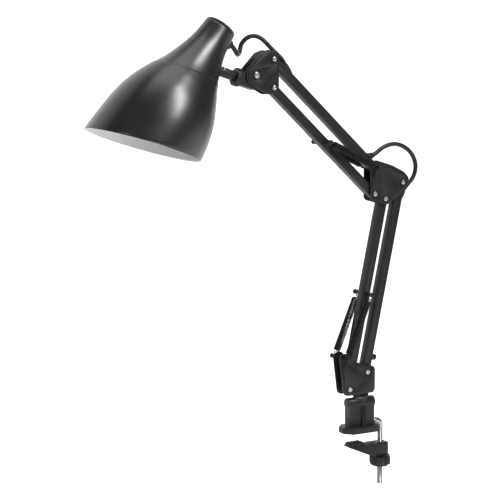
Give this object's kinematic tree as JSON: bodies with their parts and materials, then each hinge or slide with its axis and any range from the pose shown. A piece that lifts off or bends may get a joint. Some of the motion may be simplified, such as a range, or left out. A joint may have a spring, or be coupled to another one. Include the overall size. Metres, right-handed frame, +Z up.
{
  "type": "architect desk lamp",
  "caption": "Clamp-on architect desk lamp: a swivel base, two spring-balanced parallelogram arms and a tilting, turning bell shade with an E27 holder.",
  "frame": {"origin": "on the base swivel's axis, at the underside of the clamp's upper pad, where the desk's top face is", "axes": "+Z up, the arms move in the XZ plane at rest and reach towards -X, the bolt heads face -Y"},
  "size_m": [0.4934, 0.1443, 0.6444],
  "materials": {
    "powder_black": "satin black powder coat",
    "shade_black": "smooth satin black paint outside, white inside",
    "plastic_black": "fine-grained black nylon",
    "cable_black": "black PVC sheath",
    "spring_black": "blackened spring steel",
    "pad_rubber": "soft black rubber",
    "nickel": "nickel-plated steel",
    "zinc": "bright zinc-plated steel",
    "brass": "bright brass",
    "white_nylon": "natural nylon"
  },
  "bodies": {
    "clamp": {"clamp_body": "powder_black", "clamp_pad": "pad_rubber", "swivel_bush": "white_nylon", "clamp_rod": "zinc", "rod_screw": "zinc"},
    "jaw": {"lower_jaw": "powder_black", "jaw_pad": "pad_rubber"},
    "knob": {"clamp_knob": "plastic_black", "knob_nut": "zinc"},
    "base_bracket": {"base_plate_front": "powder_black", "base_plate_rear": "powder_black", "swivel_post": "powder_black", "base_bolts": "nickel", "base_nuts": "nickel", "base_washers": "plastic_black", "base_spring_studs": "powder_black"},
    "lower_link": {"lower_link_bar": "powder_black", "lower_link_plugs": "plastic_black", "lower_grommets": "plastic_black", "cable_lower": "cable_black"},
    "lower_main": {"lower_main_bar": "powder_black", "lower_main_plugs": "plastic_black", "lower_cross_pin": "powder_black", "lower_spring_front": "spring_black", "lower_spring_rear": "spring_black"},
    "knee": {"knee_plate_front": "powder_black", "knee_plate_rear": "powder_black", "knee_bolts": "nickel", "knee_nuts": "nickel", "knee_washers": "plastic_black", "knee_spring_axle": "powder_black", "cable_knee": "cable_black"},
    "upper_link": {"upper_link_bar": "powder_black", "upper_link_plugs": "plastic_black", "upper_grommets": "plastic_black", "cable_upper": "cable_black"},
    "upper_main": {"upper_main_bar": "powder_black", "upper_main_plugs": "plastic_black", "upper_cross_pin": "powder_black", "upper_spring_front": "spring_black", "upper_spring_rear": "spring_black"},
    "head_bracket": {"head_plate_front": "powder_black", "head_plate_rear": "powder_black", "head_bolts": "nickel", "head_nuts": "nickel", "head_washers": "plastic_black", "nose_bolt": "nickel", "cable_head": "cable_black"},
    "knuckle": {"knuckle": "powder_black"},
    "lock_ring": {"stem_lock_ring": "plastic_black"},
    "shade": {"head_stem": "powder_black", "stem_screws": "nickel", "shade": "shade_black", "lampholder": "plastic_black", "screw_shell": "brass", "centre_contact": "brass", "neck_cap": "shade_black", "cable_gland": "plastic_black", "cable_shade": "cable_black"},
    "switch": {"rocker_switch": "plastic_black"}
  },
  "joints": [
    {"name": "base_swivel", "type": "hinge", "parent": "clamp", "child": "base_bracket", "pos_m": [0, 0, 0.04], "axis": [0, 0, 1], "continuous": true},
    {"name": "lower_arm", "type": "hinge", "parent": "base_bracket", "child": "lower_link", "pos_m": [0.005, 0, 0.085], "axis": [0, 1, 0], "range_deg": [-45, 15]},
    {"name": "lower_main_pivot", "type": "hinge", "parent": "base_bracket", "child": "lower_main", "pos_m": [-0.024, 0, 0.063], "axis": [0, 1, 0], "range_deg": [-45, 15], "deforming": ["lower_spring_front", "lower_spring_rear"]},
    {"name": "knee_level", "type": "hinge", "parent": "lower_link", "child": "knee", "pos_m": [0.06072, 0, 0.34714], "axis": [0, 1, 0], "range_deg": [-15, 45], "deforming": ["cable_lower"]},
    {"name": "upper_arm", "type": "hinge", "parent": "knee", "child": "upper_link", "pos_m": [0.01422, 0, 0.36914], "axis": [0, 1, 0], "range_deg": [-60, 25], "deforming": ["cable_knee"]},
    {"name": "upper_main_pivot", "type": "hinge", "parent": "knee", "child": "upper_main", "pos_m": [0.01422, 0, 0.33214], "axis": [0, 1, 0], "range_deg": [-60, 25], "deforming": ["upper_spring_front", "upper_spring_rear"]},
    {"name": "head_level", "type": "hinge", "parent": "upper_link", "child": "head_bracket", "pos_m": [-0.14556, 0, 0.51301], "axis": [0, 1, 0], "range_deg": [-25, 60], "deforming": ["cable_upper"]},
    {"name": "head_tilt", "type": "hinge", "parent": "head_bracket", "child": "knuckle", "pos_m": [-0.17206, 0, 0.49201], "axis": [0, 1, 0], "range_deg": [-50, 45], "deforming": ["cable_head"]},
    {"name": "swivel_lock", "type": "hinge", "parent": "knuckle", "child": "lock_ring", "pos_m": [-0.17483, 0, 0.48292], "axis": [-0.9563, 0, 0.2924], "range_deg": [-30, 30]},
    {"name": "head_swivel", "type": "hinge", "parent": "knuckle", "child": "shade", "pos_m": [-0.17483, 0, 0.48292], "axis": [-0.9563, 0, 0.2924], "range_deg": [-70, 70], "deforming": ["cable_shade"]},
    {"name": "switch_rock", "type": "hinge", "parent": "shade", "child": "switch", "pos_m": [-0.22944, 0, 0.55845], "axis": [0, 1, 0], "range_deg": [-7, 7]},
    {"name": "knob_turn", "type": "hinge", "parent": "jaw", "child": "knob", "pos_m": [0.0335, 0, -0.045], "axis": [0, 0, 1], "range_deg": [-6840, 4050]},
    {"name": "jaw_slide", "type": "slide", "parent": "clamp", "child": "jaw", "axis": [0, 0, 1], "range_m": [-0.0237, 0.014]}
  ],
  "couplings": [
    {"joint": "lower_main_pivot", "follows": "lower_arm", "ratio": 1},
    {"joint": "knee_level", "follows": "lower_arm", "ratio": -1},
    {"joint": "upper_main_pivot", "follows": "upper_arm", "ratio": 1},
    {"joint": "head_level", "follows": "upper_arm", "ratio": -1},
    {"joint": "knob_turn", "follows": "jaw_slide", "rad_per_m": 5026.5}
  ]
}
